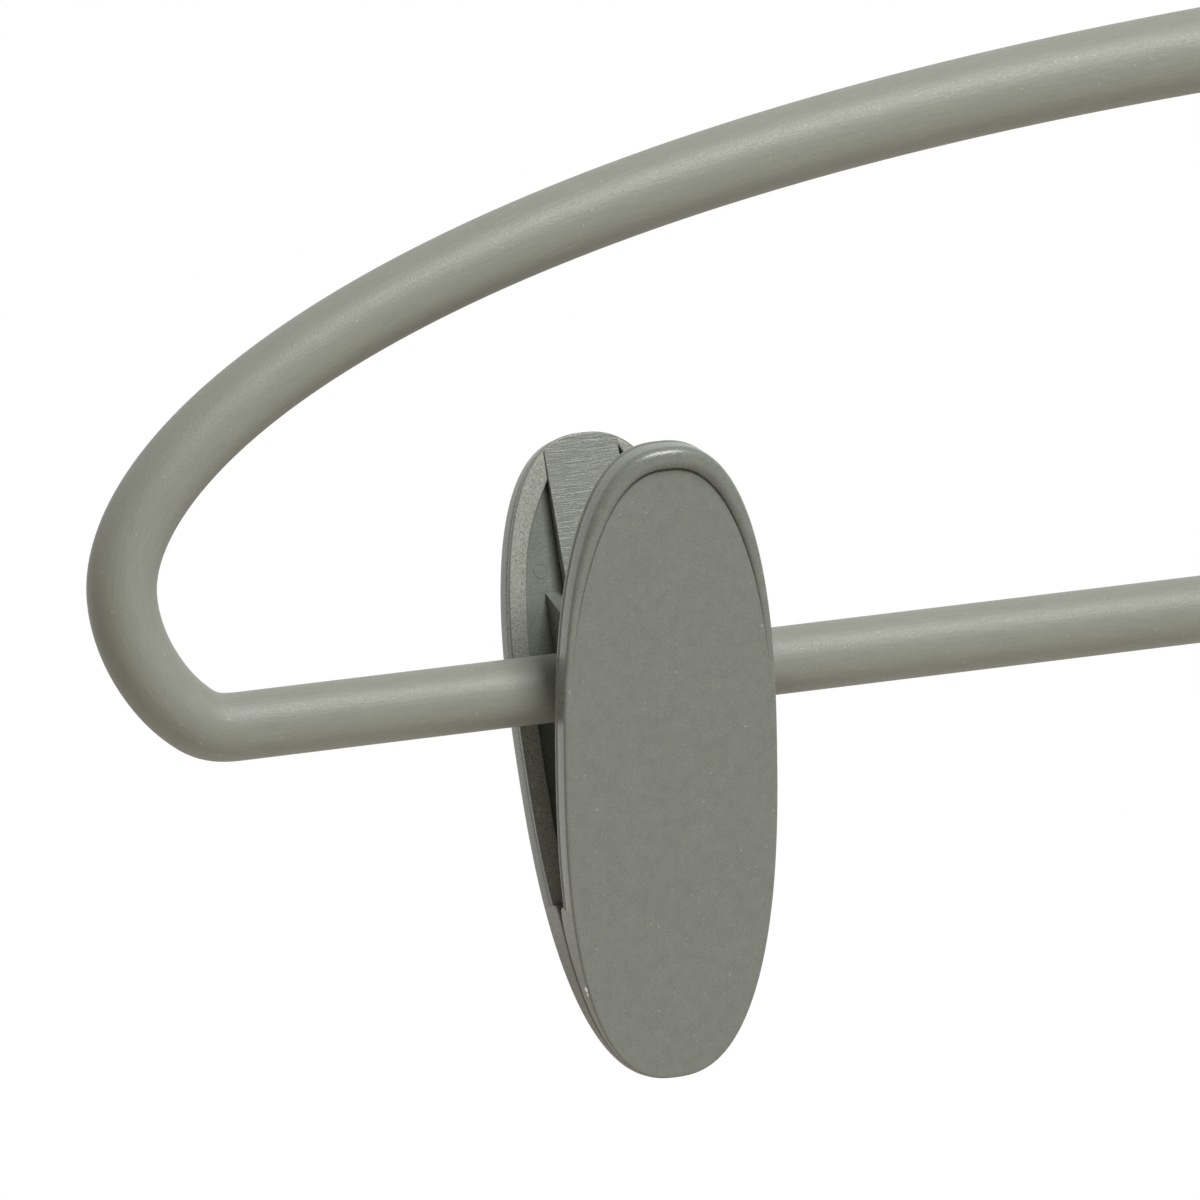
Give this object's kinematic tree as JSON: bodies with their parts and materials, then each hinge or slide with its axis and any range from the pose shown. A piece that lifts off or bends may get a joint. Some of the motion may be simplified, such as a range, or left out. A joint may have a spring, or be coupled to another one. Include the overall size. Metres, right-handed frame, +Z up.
{
  "type": "clip hanger",
  "caption": "Clothes hanger: a moulded loop of round rod on a swivelling wire hook, with spring-loaded pinch clips that slide along its trouser bar.",
  "frame": {"origin": "where the hook rests on a rail: the top of the inside of the hook", "axes": "+X along the trouser bar, +Y through the hanger's thickness from front to back, +Z up"},
  "size_m": [0.3498, 0.0286, 0.1797],
  "materials": {
    "hook_wire": "bright drawn wire",
    "frame_plastic": "satin moulded",
    "clip_plastic": "fine matte texture",
    "spring_strip": "dark spring steel"
  },
  "bodies": {
    "hook": {"hook": "hook_wire"},
    "frame": {"frame": "frame_plastic"},
    "left_clip": {"left_clip_spring": "spring_strip"},
    "left_front_half": {"left_clip_front_shell": "clip_plastic"},
    "left_rear_half": {"left_clip_rear_shell": "clip_plastic"},
    "right_clip": {"right_clip_spring": "spring_strip"},
    "right_front_half": {"right_clip_front_shell": "clip_plastic"},
    "right_rear_half": {"right_clip_rear_shell": "clip_plastic"}
  },
  "joints": [
    {"name": "hook_swivel", "type": "hinge", "parent": "hook", "child": "frame", "pos_m": [0, 0, -0.0649], "axis": [0, 0, 1], "continuous": true},
    {"name": "left_clip_slide", "type": "slide", "parent": "frame", "child": "left_clip", "axis": [1, 0, 0], "range_m": [-0.0365, 0.104]},
    {"name": "left_clip_front_pinch", "type": "hinge", "parent": "left_clip", "child": "left_front_half", "pos_m": [-0.1165, 0, -0.13465], "axis": [-1, 0, 0], "range_deg": [0, 18], "stiffness_Nm_per_rad": 0.25, "springref_deg": -22.92, "deforming": ["left_clip_spring"]},
    {"name": "left_clip_rear_pinch", "type": "hinge", "parent": "left_clip", "child": "left_rear_half", "pos_m": [-0.1165, 0, -0.13465], "axis": [-1, 0, 0], "range_deg": [-18, 0], "stiffness_Nm_per_rad": 0.25, "springref_deg": 22.92, "deforming": ["left_clip_spring"]},
    {"name": "right_clip_slide", "type": "slide", "parent": "frame", "child": "right_clip", "axis": [-1, 0, 0], "range_m": [-0.0365, 0.104]},
    {"name": "right_clip_front_pinch", "type": "hinge", "parent": "right_clip", "child": "right_front_half", "pos_m": [0.1165, 0, -0.13465], "axis": [-1, 0, 0], "range_deg": [0, 18], "stiffness_Nm_per_rad": 0.25, "springref_deg": -22.92, "deforming": ["right_clip_spring"]},
    {"name": "right_clip_rear_pinch", "type": "hinge", "parent": "right_clip", "child": "right_rear_half", "pos_m": [0.1165, 0, -0.13465], "axis": [-1, 0, 0], "range_deg": [-18, 0], "stiffness_Nm_per_rad": 0.25, "springref_deg": 22.92, "deforming": ["right_clip_spring"]}
  ],
  "couplings": [
    {"joint": "left_clip_rear_pinch", "follows": "left_clip_front_pinch", "ratio": -1},
    {"joint": "right_clip_rear_pinch", "follows": "right_clip_front_pinch", "ratio": -1}
  ]
}
